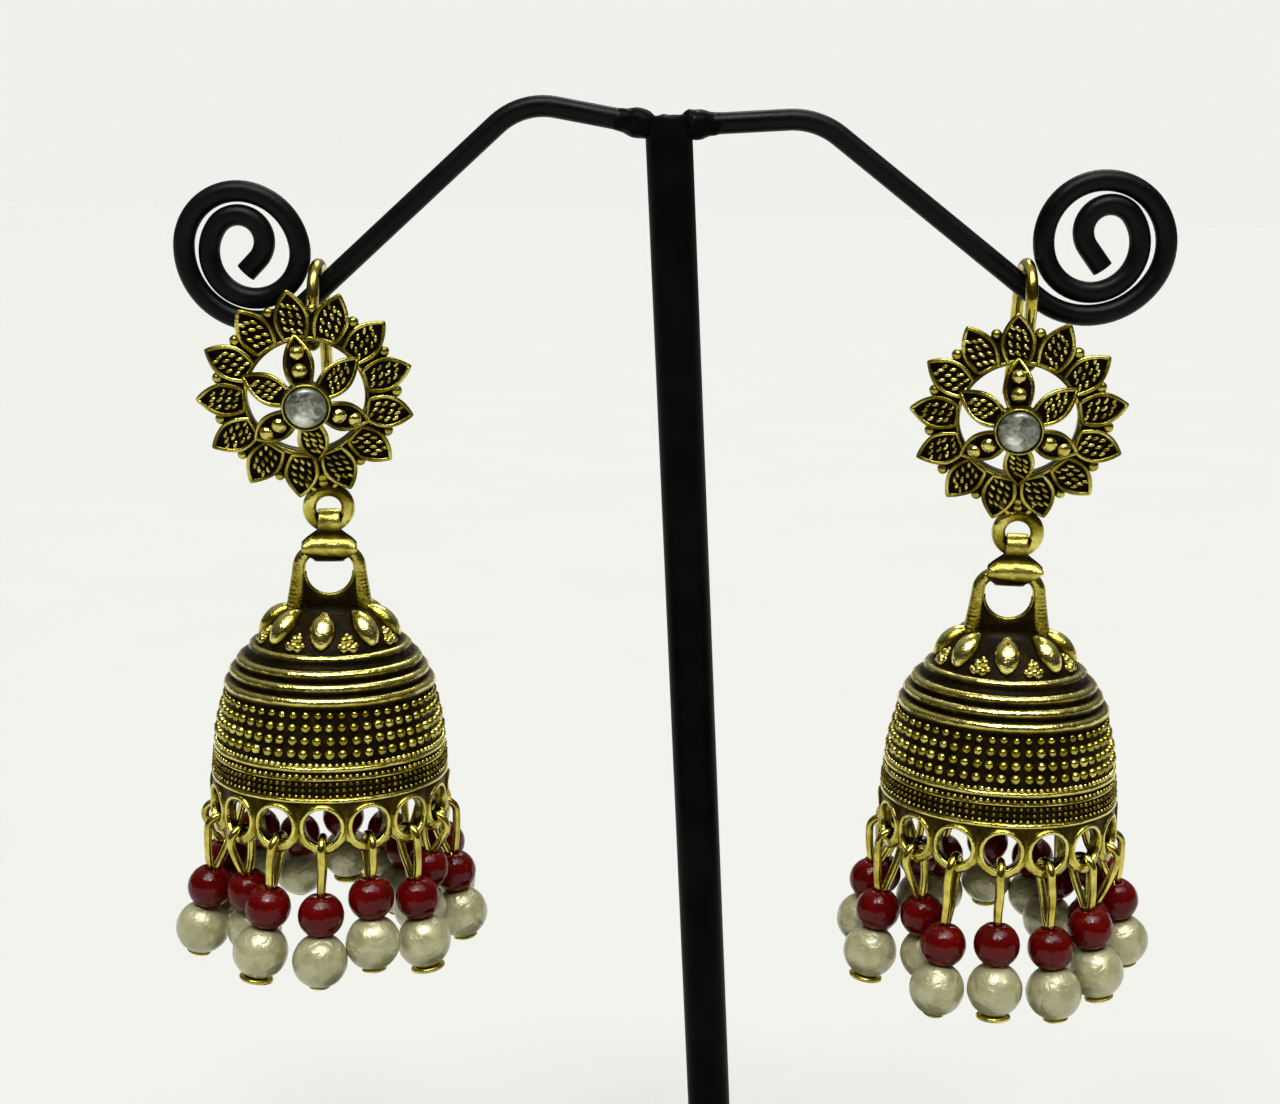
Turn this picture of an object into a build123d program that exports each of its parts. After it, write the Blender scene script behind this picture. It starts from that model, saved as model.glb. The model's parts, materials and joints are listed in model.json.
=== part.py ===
"""A pair of jhumka earrings hanging on a black T-shaped wire stand.

Millimetres, +Z up, +X to the viewer's right, the viewer on the -Y side.
The origin is the middle of the underside of the stand's foot.
Each earring is made in its own frame, whose origin is the middle of the ring at the
foot of its flower, and is then placed on the stand by a plane.
"""

import os
from math import asin, cos, degrees, radians, sin, sqrt

from build123d import *

# ---- stand -----------------------------------------------------------------------------
FOOT_RADIUS = 32.0
FOOT_THICKNESS = 2.5
FOOT_EDGE = 1.0
HUB_RADIUS = 4.0
HUB_HEIGHT = 5.0
SOCKET_FLOOR = 1.0
POST_RADIUS = 1.7
POST_TOP = Vector(-7.0, -7.3, 105.0)
ARM_WIRE = 1.55
ARM_DROP = 1.15
COLLAR_WIDTH = 2.05
COLLAR_LENGTH = 0.6
ARM_GAP = 0.16
SEAT_GAP = 0.05

# each arm: which side, rise of the first run, its reach, bend, slope and length of the
# slanting run, and the radius and sweep of each arc of the spiral, then its straight end
ARMS = {
    "left_arm": dict(
        side=-1, rise=9.5, reach=8.6, bend=5.0, slope=43.3, slant=21.4,
        spiral=[(5.26, 137.0), (3.98, 98.5), (4.6, 68.5), (3.3, 223.0), (1.89, 189.0)],
        tail=1.3),
    "right_arm": dict(
        side=1, rise=4.2, reach=8.9, bend=5.5, slope=37.0, slant=20.7,
        spiral=[(5.77, 96.0), (4.56, 130.5), (4.31, 98.0), (3.48, 199.0), (1.93, 181.0)],
        tail=1.9),
}

# ---- ear hook --------------------------------------------------------------------------
HOOK_WIRE = 0.9
HOOK_RADIUS = 2.5
HOOK_TAIL = 5.2
HOOK_KICK_RADIUS = 5.0
HOOK_KICK_ANGLE = 20.0
HOOK_TIP = 1.2
PAD_HALF_WIDTH = 0.8
PAD_HALF_LENGTH = 1.1

# ---- flower ----------------------------------------------------------------------------
PETALS = 13
FLOWER_RADIUS = 7.8
PETAL_ROOT = 4.4
PETAL_HALF_WIDTH = 1.6
PLATE_THICKNESS = 0.9
WREATH_OUTER = 5.3
WREATH_INNER = 4.35
WREATH_HEIGHT = 1.35
STAR_ARMS = 6
STAR_REACH = 4.9
STAR_HALF_WIDTH = 1.15
STAR_RISE = 3.3
STAR_THICKNESS = 0.8
STAR_ROOT = 1.0
STAR_TURN = 30.0
LEAF_BULGE = 0.45
DOME_RADIUS = 7.25
DOME_EDGE = 5.2
BEZEL_RADIUS = 1.95
BEZEL_TOP = 4.0
STONE_RADIUS = 1.6
STONE_RISE = 0.75
RING_CENTRE = 8.85
RING_RADIUS = 1.41
RING_WIRE = 1.02
FLOWER_TILT = 10.5

# ---- link, a folded strip of sheet -----------------------------------------------------
SHEET = 0.3
EYE_RADIUS = 0.72
EYE_DROP = 1.14
BARREL_RADIUS = 0.77
BARREL_DROP = 3.05
WAIST_HALF = 0.5
STRAP_HALF = 0.65
BARREL_HALF = 2.05
LIP_HALF = 1.15
LIP_RISE = 0.2
SHOULDER_TOP = -1.25
SHOULDER_MIDDLE = (1.62, -1.6)
SHOULDER_FOOT = -2.45

# ---- bell ------------------------------------------------------------------------------
BAR_DROP = 3.195
LOOP_WIRE = 0.95
LOOP_HALF_HEAD = 0.85
LOOP_CORNER = 1.375
LOOP_FLARE = 6.5
LOOP_FOOT_HALF = 2.6
LOOP_FOOT = -4.9
WEB_TOP = -3.4
HOLE_HALF = 1.75
WEB_THICKNESS = 0.7
WALL = 0.8
# outline of the bell outside its ridges: radius, height below the bar of the loop
BELL_OUTLINE = [
    (2.6, -4.35), (4.3, -5.45), (5.4, -6.85), (6.3, -7.75), (6.9, -8.65),
    (7.4, -9.6), (7.95, -11.3), (8.35, -13.3), (8.6, -15.0), (8.7, -16.8),
]
# raised lines round the bell: radius of the line's middle, height, half thickness
RIDGES = [
    (5.6, -7.2, 0.3), (6.5, -8.1, 0.3), (7.05, -8.98, 0.3), (7.5, -9.88, 0.32),
    (8.5, -14.4, 0.26), (8.58, -15.15, 0.22), (8.7, -16.8, 0.3),
]
RIM_TOP = -16.8
RIM_BOTTOM = -20.65
RIM_RADIUS = 8.95
HOLES = 16
HOLE_HEIGHT = -18.7
HOLE_RADIUS = 1.35
SCALLOP_RADIUS = 1.0

# ---- drops -----------------------------------------------------------------------------
PIN_WIRE = 0.62
PIN_LIFT = 0.52
LOOP_BEND = 0.96
LOOP_LENGTH = 3.35
RED_DIAMETER = 3.25
RED_HALF_HEIGHT = 1.45
PEARL_DIAMETER = 3.9
PEARL_HALF_HEIGHT = 1.8
BEAD_GAP = 0.04
BORE = 0.8
RED_DROP = 5.2
HEAD_RADIUS = 1.25
HEAD_THICKNESS = 0.35

# how each drop hangs, from the front of the bell round towards +X: degrees it leans
# outward, degrees it swings on round the bell, and how much longer its loop was bent
HANGS = {
    "left": [(7, -1, 0.5), (7, 0, -0.5), (9, 3, 0.3), (-11, 1, -0.8),
             (10, -2, 0.5), (10, 0, -0.6), (-12, -2, 0.6), (8, -5, 0),
             (8, -4, -0.9), (8, -3, 0.4), (9, -3, -0.8), (9, -3, 0.5),
             (-12, -3, -0.5), (9, -6, 0.5), (-12, -4, 0.1), (8, -6, 0.2)],
    "right": [(6, 0, 0.9), (7, 4, 1.2), (9, 5, 0.3), (-11, 3, 1.0),
              (11, 2, 0.3), (9, 3, -0.6), (-12, 0, 0.8), (8, -2, 0.1),
              (8, -1, -0.7), (8, 0, 0.4), (-10, 0, -0.3), (9, -2, 0.7),
              (9, -1, -0.1), (9, 1, 0.9), (-12, 1, 0.5), (9, -2, 1.4)],
}

# each earring: the middle of its flower's ring, its yaw about the vertical, the turn of
# its flower about its own middle, the middle of its hook's arch, the length of the
# hook's front strand, how far the bell has slid along its bar, and the turn of the
# holes round its bell
EARRINGS = {
    "left": dict(ring=(-31.4, -8.1, 75.6), yaw=9.0, spin=10.0,
                 arch=(-32.17, -7.3, 90.84), strand=2.8, slide=0.0, first_hole=-4.0),
    "right": dict(ring=(19.65, -8.1, 74.85), yaw=-9.0, spin=3.5,
                  arch=(19.35, -7.3, 91.98), strand=4.4, slide=-0.4, first_hole=1.6),
}

os.makedirs("parts", exist_ok=True)


def save(piece, name, plane=Plane.XY):
    """Places a finished piece by a plane and writes it under its own name."""
    placed = piece.moved(plane.location)
    placed.label = name
    export_step(placed, f"parts/{name}.step")


# ---- stand -----------------------------------------------------------------------------
def post_plane():
    """The plane of the post's lower end, square to the post's leaning axis."""
    foot = Vector(0, 0, SOCKET_FLOOR)
    return Plane(origin=foot, z_dir=POST_TOP - foot)


def make_base():
    with BuildPart() as base:
        with BuildSketch():
            Circle(FOOT_RADIUS)
        extrude(amount=FOOT_THICKNESS)
        fillet(base.faces().sort_by(Axis.Z)[-1].edges(), radius=FOOT_EDGE)
        with BuildSketch(Plane.XY.offset(FOOT_THICKNESS)):
            Circle(HUB_RADIUS)
        extrude(amount=HUB_HEIGHT - FOOT_THICKNESS)
        with BuildSketch(post_plane()):
            Circle(POST_RADIUS + SEAT_GAP)
        extrude(amount=HUB_HEIGHT + POST_RADIUS, mode=Mode.SUBTRACT)
    return base.part


def make_post():
    with BuildPart() as post:
        with BuildSketch(post_plane()):
            Circle(POST_RADIUS)
        extrude(amount=(POST_TOP - post_plane().origin).length)
    return post.part


def make_arm(side, rise, reach, bend, slope, slant, spiral, tail):
    """A wire that leaves the post, bends down and ends in a flat spiral."""
    plane = Plane(origin=POST_TOP, x_dir=(1, 0, 0), z_dir=(0, -1, 0))
    start = (side * (POST_RADIUS + ARM_GAP), -ARM_DROP)
    corner = (start[0] + side * reach, start[1] + reach * sin(radians(rise)))
    low = (corner[0] + side * slant * cos(radians(slope)),
           corner[1] - slant * sin(radians(slope)))
    with BuildPart() as arm:
        with BuildLine(plane) as route:
            run = FilletPolyline(start, corner, low, radius=bend)
            end, heading = run @ 1, run % 1
            for radius, sweep_angle in spiral:
                turn = JernArc(end, heading, radius, side * sweep_angle)
                end, heading = turn @ 1, turn % 1
            Line(end, end + heading * tail)
        line = route.line
        with BuildSketch(Plane(origin=line @ 0, z_dir=line % 0)):
            Circle(ARM_WIRE / 2)
        sweep(path=line)
        with BuildSketch(Plane(origin=line @ 0, z_dir=line % 0)):
            Circle(COLLAR_WIDTH / 2)
        extrude(amount=COLLAR_LENGTH)
    return arm.part


# ---- the planes of an earring ----------------------------------------------------------
def earring_plane(ring, yaw):
    """The earring's frame: upright, at the middle of its flower's ring."""
    return Plane(origin=ring, x_dir=Vector(1, 0, 0).rotate(Axis.Z, yaw), z_dir=(0, 0, 1))


def hook_plane(arch):
    """The hook's frame, at the middle of its arch, tilted with the flower."""
    up = Vector(0, 0, 1).rotate(Axis.X, FLOWER_TILT)
    return Plane(origin=arch, x_dir=(1, 0, 0), z_dir=up)


def flower_plane(ring, yaw, spin):
    """The back of the flower's plate, which faces the viewer and a little down."""
    right = Vector(1, 0, 0).rotate(Axis.Z, yaw)
    up = Vector(0, 0, 1).rotate(Axis.X, FLOWER_TILT).rotate(Axis.Z, yaw)
    along = right * cos(radians(spin)) + up * sin(radians(spin))
    above = up * cos(radians(spin)) - right * sin(radians(spin))
    face = right.cross(up)
    middle = Vector(*ring) + above * RING_CENTRE - face * (PLATE_THICKNESS / 2)
    return Plane(origin=middle, x_dir=along, z_dir=face)


def below(plane, depth, slide=0.0):
    """The earring's frame moved down, and back to where the flower's ring hangs lowest."""
    set_back = RING_RADIUS * sin(radians(FLOWER_TILT))
    return Plane(origin=plane.from_local_coords((slide, set_back, -depth)),
                 x_dir=plane.x_dir, z_dir=plane.z_dir)


# ---- ear hook, in its own frame --------------------------------------------------------
def make_hook(strand):
    with BuildPart() as hook:
        with BuildLine(Plane.YZ) as route:
            front = Line((-HOOK_RADIUS, -strand), (-HOOK_RADIUS, 0))
            arch = JernArc(front @ 1, front % 1, HOOK_RADIUS, -180)
            tail = Line(arch @ 1, arch @ 1 + (arch % 1) * HOOK_TAIL)
            kick = JernArc(tail @ 1, tail % 1, HOOK_KICK_RADIUS, HOOK_KICK_ANGLE)
            Line(kick @ 1, kick @ 1 + (kick % 1) * HOOK_TIP)
        with BuildSketch(Plane(origin=route.line @ 0, z_dir=route.line % 0)):
            Circle(HOOK_WIRE / 2)
        sweep(path=route.line)
    return hook.part


# ---- flower, on the plane of its back ----------------------------------------------------
def leaf(root, tip, half_width, angle):
    """A pointed leaf that lies along an angle, from its root to its tip."""
    along = Vector(cos(radians(angle)), sin(radians(angle)))
    across = Vector(-along.Y, along.X)
    middle = along * (root + (tip - root) * LEAF_BULGE)
    with BuildSketch() as outline:
        with BuildLine():
            ThreePointArc(along * root, middle + across * half_width, along * tip)
            ThreePointArc(along * tip, middle - across * half_width, along * root)
        make_face()
    return outline.sketch


def dome_arc(top, radius, reach):
    """Half of a round dome's outline, from the axis at its top out to its reach."""
    return CenterArc((0, top - radius), radius, 90, -degrees(asin(reach / radius)))


def make_star():
    """Six leaves cut from a shallow dome that rises from the wreath."""
    with BuildPart() as star:
        with BuildSketch():
            Circle(BEZEL_RADIUS)
            for number in range(STAR_ARMS):
                angle = STAR_TURN + number * 360 / STAR_ARMS
                add(leaf(STAR_ROOT, STAR_REACH, STAR_HALF_WIDTH, angle))
        extrude(amount=STAR_RISE)
        with BuildSketch(Plane.XZ):
            with BuildLine():
                upper = dome_arc(STAR_RISE, DOME_RADIUS, DOME_EDGE)
                lower = dome_arc(STAR_RISE - STAR_THICKNESS, DOME_RADIUS, DOME_EDGE)
                Line(upper @ 0, lower @ 0)
                Line(upper @ 1, lower @ 1)
            make_face()
        revolve(axis=Axis.Z, mode=Mode.INTERSECT)
    return star.part


def make_flower(pad):
    """The wreath, its raised star, the bezel, the bottom ring and the hook's solder pad."""
    star = make_star()
    with BuildPart() as flower:
        with BuildSketch():
            for number in range(PETALS):
                angle = 90 + number * 360 / PETALS
                add(leaf(PETAL_ROOT, FLOWER_RADIUS, PETAL_HALF_WIDTH, angle))
        extrude(amount=PLATE_THICKNESS)
        with BuildSketch():
            Circle(WREATH_OUTER)
        extrude(amount=WREATH_HEIGHT)
        with BuildSketch():
            Circle(WREATH_INNER)
        extrude(amount=WREATH_HEIGHT, mode=Mode.SUBTRACT)
        add(star)
        with BuildSketch(Plane.XY.offset(STAR_RISE - STAR_THICKNESS)):
            Circle(BEZEL_RADIUS)
        extrude(amount=BEZEL_TOP - STAR_RISE + STAR_THICKNESS)
        with BuildSketch(Plane.XY.offset(STAR_RISE)):
            Circle(STONE_RADIUS + SEAT_GAP)
        extrude(amount=BEZEL_TOP - STAR_RISE, mode=Mode.SUBTRACT)
        with BuildSketch(Plane.YZ):
            with Locations((-RING_CENTRE - RING_RADIUS, PLATE_THICKNESS / 2)):
                Circle(RING_WIRE / 2)
        revolve(axis=Axis((0, -RING_CENTRE, 0), (0, 0, 1)))
        with BuildSketch():
            with Locations((pad.X, pad.Y)):
                Rectangle(2 * PAD_HALF_WIDTH, 2 * PAD_HALF_LENGTH)
        extrude(amount=pad.Z + HOOK_WIRE / 2 + SEAT_GAP)
    return flower.part


def make_stone():
    """A low round stone that sits in the bezel's cup."""
    low = STAR_RISE + SEAT_GAP
    curve = (STONE_RADIUS ** 2 + STONE_RISE ** 2) / (2 * STONE_RISE)
    with BuildPart() as stone:
        with BuildSketch(Plane.XZ):
            with BuildLine():
                crown = dome_arc(BEZEL_TOP + STONE_RISE, curve, STONE_RADIUS)
                Polyline(crown @ 1, (STONE_RADIUS, low), (0, low), crown @ 0)
            make_face()
        revolve(axis=Axis.Z)
    return stone.part


# ---- link, hanging in the flower's ring --------------------------------------------------
def make_link(slide):
    """A folded strip: an eye round the flower's ring and a barrel round the bell's loop."""
    waist = (EYE_DROP + BARREL_DROP) / 2
    lip_corner = -BARREL_DROP - LIP_RISE
    lip_edge = -BARREL_DROP - BARREL_RADIUS
    lip_foot = -BARREL_DROP - 2 * BARREL_RADIUS
    with BuildPart() as link:
        with BuildSketch(Plane.YZ):
            with Locations((0, -EYE_DROP)):
                Circle(EYE_RADIUS + SHEET)
            with Locations((0, -BARREL_DROP)):
                Circle(BARREL_RADIUS + SHEET)
            with Locations((0, -waist)):
                Rectangle(2 * (WAIST_HALF + SHEET), BARREL_DROP - EYE_DROP)
                Rectangle(2 * WAIST_HALF, BARREL_DROP - EYE_DROP, mode=Mode.SUBTRACT)
            with Locations((0, -EYE_DROP)):
                Circle(EYE_RADIUS, mode=Mode.SUBTRACT)
            with Locations((0, -BARREL_DROP)):
                Circle(BARREL_RADIUS, mode=Mode.SUBTRACT)
        extrude(amount=BARREL_HALF, both=True)
        with BuildSketch(Plane.XZ):
            with BuildLine():
                Polyline((0, 0), (STRAP_HALF, 0), (STRAP_HALF, SHOULDER_TOP))
                ThreePointArc((STRAP_HALF, SHOULDER_TOP), SHOULDER_MIDDLE,
                              (BARREL_HALF, SHOULDER_FOOT))
                Polyline((BARREL_HALF, SHOULDER_FOOT), (BARREL_HALF, lip_foot), (0, lip_foot))
                mirror(about=Plane.YZ)
            make_face()
            for side in (-1, 1):
                end = side * 2 * BARREL_HALF
                corner = (slide + side * BARREL_HALF, lip_corner)
                edge = slide + side * LIP_HALF
                with BuildLine():
                    Polyline((end, lip_corner), corner, (edge, lip_edge), (edge, lip_foot),
                             (end, lip_foot), (end, lip_corner))
                make_face(mode=Mode.SUBTRACT)
        extrude(amount=2 * BARREL_RADIUS, both=True, mode=Mode.INTERSECT)
    return link.part


# ---- bell, in a frame at the middle of the bar of its loop ---------------------------------
def around(angle):
    """The outward direction at an angle from the front of the bell, towards +X."""
    return Vector(sin(radians(angle)), -cos(radians(angle)), 0)


def make_loop():
    """The loop on top of the bell: a bent bar on two flanks, with a web between them."""
    with BuildPart() as loop:
        with BuildLine(Plane.XZ) as route:
            bar = Line((0, 0), (LOOP_HALF_HEAD, 0))
            corner = JernArc(bar @ 1, bar % 1, LOOP_CORNER, LOOP_FLARE - 90)
            Line(corner @ 1, (LOOP_FOOT_HALF, LOOP_FOOT))
        with BuildSketch(Plane.YZ):
            Circle(LOOP_WIRE / 2)
        sweep(path=route.line)
        mirror(about=Plane.YZ)
        with BuildSketch(Plane.XZ):
            with Locations((0, (LOOP_FOOT + WEB_TOP + HOLE_HALF) / 2)):
                Rectangle(2 * LOOP_FOOT_HALF - LOOP_WIRE / 2, WEB_TOP + HOLE_HALF - LOOP_FOOT)
            with Locations((0, WEB_TOP + HOLE_HALF)):
                Circle(HOLE_HALF, mode=Mode.SUBTRACT)
        extrude(amount=WEB_THICKNESS / 2, both=True)
    return loop.part


def make_bell(first_hole):
    """The hollow dome, its raised lines, its pierced rim and its loop."""
    loop = make_loop()
    inside = [(radius - WALL, height) for radius, height in BELL_OUTLINE]
    crown = BELL_OUTLINE[0][1]
    with BuildPart() as bell:
        with BuildSketch(Plane.XZ):
            with BuildLine():
                Polyline((0, crown), *BELL_OUTLINE, (RIM_RADIUS, RIM_TOP),
                         (RIM_RADIUS, RIM_BOTTOM), (RIM_RADIUS - WALL, RIM_BOTTOM),
                         (RIM_RADIUS - WALL, RIM_TOP - WALL), *reversed(inside[1:]),
                         (0, inside[1][1]), (0, crown))
            make_face()
            for radius, height, half in RIDGES:
                with Locations((radius, height)):
                    Circle(half)
        revolve(axis=Axis.Z)
        for number in range(HOLES):
            outward = around(first_hole + number * 360 / HOLES)
            with BuildSketch(Plane(origin=(0, 0, HOLE_HEIGHT), z_dir=outward)):
                Circle(HOLE_RADIUS)
            extrude(amount=2 * RIM_RADIUS, mode=Mode.SUBTRACT)
            between = around(first_hole + (number + 0.5) * 360 / HOLES)
            with BuildSketch(Plane(origin=(0, 0, RIM_BOTTOM), z_dir=between)):
                Circle(SCALLOP_RADIUS)
            extrude(amount=2 * RIM_RADIUS, mode=Mode.SUBTRACT)
        add(loop)
    return bell.part


# ---- drops, each in a frame at the top of its pin's loop -----------------------------------
def drop_plane(angle, lean, swing):
    """A drop's loop sits over the middle of the rim's wall and hangs as it leans."""
    outward = around(angle)
    onward = Vector(0, 0, 1).cross(outward)
    up = Vector(0, 0, 1) - outward * sin(radians(lean)) - onward * sin(radians(swing))
    radius = RIM_RADIUS - WALL / 2 - LOOP_BEND * sin(radians(lean))
    height = HOLE_HEIGHT - HOLE_RADIUS + PIN_LIFT
    return Plane(origin=outward * radius + Vector(0, 0, height), x_dir=outward, z_dir=up)


def make_bead(diameter, half_height):
    """A round bead with flats where its bore comes out."""
    flat = sqrt((diameter / 2) ** 2 - half_height ** 2)
    with BuildPart() as bead:
        with BuildSketch(Plane.XZ):
            with BuildLine():
                ThreePointArc((flat, -half_height), (diameter / 2, 0), (flat, half_height))
                Polyline((flat, half_height), (BORE / 2, half_height),
                         (BORE / 2, -half_height), (flat, -half_height))
            make_face()
        revolve(axis=Axis.Z)
    return bead.part


def pearl_drop(longer):
    return RED_DROP + longer + RED_HALF_HEIGHT + BEAD_GAP + PEARL_HALF_HEIGHT


def make_pin(longer):
    """An eye-pin: a long loop, a straight shank and a flat head under the pearl."""
    length = LOOP_LENGTH + longer
    head = -pearl_drop(longer) - PEARL_HALF_HEIGHT - BEAD_GAP
    with BuildPart() as pin:
        with BuildLine(Plane.XZ) as route:
            top = JernArc((0, 0), (1, 0), LOOP_BEND, -90)
            side = Line(top @ 1, top @ 1 - Vector(0, 0, length - 2 * LOOP_BEND))
            JernArc(side @ 1, side % 1, LOOP_BEND, -90)
        with BuildSketch(Plane.YZ):
            Circle(PIN_WIRE / 2)
        sweep(path=route.line)
        mirror(about=Plane.YZ)
        with BuildSketch(Plane.XY.offset(-length)):
            Circle(PIN_WIRE / 2)
        extrude(amount=head + length)
        with BuildSketch(Plane.XY.offset(head)):
            Circle(HEAD_RADIUS)
        extrude(amount=-HEAD_THICKNESS)
    return pin.part


def lowered(plane, depth):
    """A plane moved back along its own normal."""
    return plane.offset(-depth)


# ---- everything, written out ----------------------------------------------------------------
def write_stand():
    save(make_base(), "stand_base")
    save(make_post(), "stand_post")
    for name, shape in ARMS.items():
        save(make_arm(**shape), name)


def write_drops(side, bell_plane, first_hole):
    """The sixteen drops of a bell: pins and red beads in one node each, pearls apart."""
    red = make_bead(RED_DIAMETER, RED_HALF_HEIGHT)
    pearl = make_bead(PEARL_DIAMETER, PEARL_HALF_HEIGHT)
    pins = []
    reds = []
    for number, (lean, swing, longer) in enumerate(HANGS[side]):
        plane = drop_plane(first_hole + number * 360 / HOLES, lean, swing)
        pins.append(make_pin(longer).moved(plane.location))
        reds.append(red.moved(lowered(plane, RED_DROP + longer).location))
        place = bell_plane.location * lowered(plane, pearl_drop(longer)).location
        save(pearl, f"{side}_pearl_{number + 1:02d}", Plane(place))
    save(Compound(pins), f"{side}_drop_pins", bell_plane)
    save(Compound(reds), f"{side}_red_beads", bell_plane)


def write_earring(side, ring, yaw, spin, arch, strand, slide, first_hole):
    frame = earring_plane(ring, yaw)
    flower = flower_plane(ring, yaw, spin)
    hook = hook_plane(arch)
    strand_end = hook.from_local_coords((0, -HOOK_RADIUS, PAD_HALF_LENGTH - strand))
    save(make_hook(strand), f"{side}_ear_hook", hook)
    save(make_flower(flower.to_local_coords(strand_end)), f"{side}_flower", flower)
    save(make_stone(), f"{side}_stone", flower)
    save(make_link(slide), f"{side}_link", below(frame, 0))
    bell_plane = below(frame, BAR_DROP, slide)
    save(make_bell(first_hole), f"{side}_bell", bell_plane)
    write_drops(side, bell_plane, first_hole)


write_stand()
for side_name, shape in EARRINGS.items():
    write_earring(side_name, **shape)
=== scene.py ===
"""Looks for a pair of jhumka earrings on their black wire stand.

Shapes are made in millimetres, each in its own local place, and put into the frame in
metres. Every point of a mesh carries a "lift": 0 in a dark recess, 1 on a rubbed top. In
places the lift also holds painted shade, and on the stone a painted highlight.
"""
import json
from dataclasses import dataclass
from math import asin, atan2, cos, degrees, hypot, pi, radians, sin, sqrt

import bmesh
import bpy
import numpy as np
from mathutils import Matrix, Vector


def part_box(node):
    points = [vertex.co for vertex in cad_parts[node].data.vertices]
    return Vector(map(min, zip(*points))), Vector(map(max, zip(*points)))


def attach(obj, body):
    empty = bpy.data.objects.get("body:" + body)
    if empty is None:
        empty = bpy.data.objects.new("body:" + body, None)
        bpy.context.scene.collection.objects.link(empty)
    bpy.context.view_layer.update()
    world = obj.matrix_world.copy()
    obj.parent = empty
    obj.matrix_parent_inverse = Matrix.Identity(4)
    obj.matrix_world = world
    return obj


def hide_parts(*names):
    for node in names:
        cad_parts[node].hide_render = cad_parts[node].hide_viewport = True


MM = 0.001
UP = np.array((0.0, 0.0, 1.0))
SIDES = ("left", "right")
scene = bpy.context.scene
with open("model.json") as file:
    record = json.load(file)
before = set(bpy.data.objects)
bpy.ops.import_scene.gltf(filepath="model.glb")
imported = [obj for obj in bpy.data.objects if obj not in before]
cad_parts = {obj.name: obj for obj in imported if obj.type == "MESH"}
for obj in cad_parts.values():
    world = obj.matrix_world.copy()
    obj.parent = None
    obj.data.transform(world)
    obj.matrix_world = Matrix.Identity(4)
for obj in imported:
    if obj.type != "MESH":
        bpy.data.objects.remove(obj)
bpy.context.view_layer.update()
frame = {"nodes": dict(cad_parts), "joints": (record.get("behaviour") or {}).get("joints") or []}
chance = np.random.default_rng(7)

# ---- sizes in millimetres, angles in degrees ----
# flower: distances from its middle, heights over its back
PETALS = 13
PETAL_ROOT = 4.4
PETAL_TIP = 7.7
ROOT_HEIGHT = 1.3
TIP_HEIGHT = 0.7
LEAF_WIRE = 0.158
LEAF_HOLLOW = 0.16
SEED_ROWS = 4
SEED_LAST = 0.86
SEED_SLANT = 38
SEED = (0.34, 0.16, 0.2)
WREATH_INNER = 4.2
WREATH_OUTER = 6.3
WREATH_WIRE = 0.17
GRANULE_RADIUS = 0.42
GRANULE_CIRCLE = 6.42
GRANULE_HEIGHT = 0.62
STAR_TOP = 3.3
STAR_DOME = 7.25
STAR_BALLS = ((2.42, 0.6), (3.6, 0.56))
BEZEL_RADIUS = 1.72
BEZEL_TOP = 4.05
STONE_RADIUS = 1.54
STONE_TOP = 4.72
RING_CENTRE = 8.85
RING_RADIUS = 1.41
RING_WIRE = 0.51
PLATE_THICKNESS = 0.9

# link: heights from the middle of the flower's ring
BAR_DROP = 3.195
EYE_DROP = 1.14
EYE_RADIUS = 0.87
BARREL_DROP = 3.05
BARREL_RADIUS = 0.92
BARREL_HALF = 2.05
BARREL_MIDDLE = -3.02
BARREL_SPAN = 0.98
WAIST_HALF = 0.62
WAIST_HEIGHT = -1.82
SHEET_HALF = 0.15
STRAP_HALF = 0.8
STRAP_FOOT = -2.1
LIP_HALF = 1.15
SLIDE_TOP = -2.95
CORNER_TOP = -3.25
CORNER_DEPTH = 0.57
CORNER_SLOPE = 1.58
SEAM_HEIGHT = -3.56

# bell: distances from its axis, heights from the bar of its loop
LOOP_WIRE = 0.475
LOOP_HALF_HEAD = 0.85
LOOP_CORNER = 1.375
LOOP_FLARE = 6.5
LOOP_FOOT = (2.6, -4.95)
LOOP_HAMMER = 0.3
HOLE_TOP = -1.65
HOLE_HALF = 1.75
WEB_HALF = 0.33
CROWN = [(0.0, -4.3), (2.2, -4.32), (2.9, -4.5), (3.7, -4.98), (4.5, -5.7), (5.05, -6.4)]
SHOULDER = [(5.4, -6.95), (6.2, -7.8), (6.82, -8.72), (7.3, -9.6), (7.6, -10.5), (7.86, -11.5),
            (8.1, -12.6), (8.27, -13.6), (8.42, -14.4), (8.52, -15.2), (8.62, -16.2), (8.68, -16.9)]
OUTLINE_STEPS = 190
CROWN_STEPS = 80
DOME_AROUND = 224
# radius, height and half width of each turned ridge, and of each low band
RIDGES = [(5.6, -7.2, 0.4), (6.5, -8.1, 0.43), (7.05, -8.98, 0.43), (7.5, -9.88, 0.44)]
BANDS = [(8.52, -14.52, 0.24), (8.6, -15.28, 0.12), (8.72, -16.82, 0.22)]
# height and radius of the dots in each row, and height, radius and shine of the fine beads
DOT_COLUMNS = 56
DOT_ROWS = [(-10.72, 0.3), (-11.58, 0.355), (-12.5, 0.37), (-13.42, 0.37)]
BEADS = 112
BEAD_SHAPE = np.array((1.15, 1.15, 1.0))
BEAD_ROWS = [(-14.17, 0.17, 1.0), (-14.98, 0.15, 0.8), (-15.55, 0.15, 0.5), (-15.98, 0.14, 0.5),
             (-16.4, 0.12, 0.8)]
CROWN_PETALS = 8
CROWN_PETAL_ROOT = 2.45
CROWN_PETAL_LENGTH = 2.8
CROWN_PETAL_HALF = 1.16
CROWN_PETAL_RISE = 0.8
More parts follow.
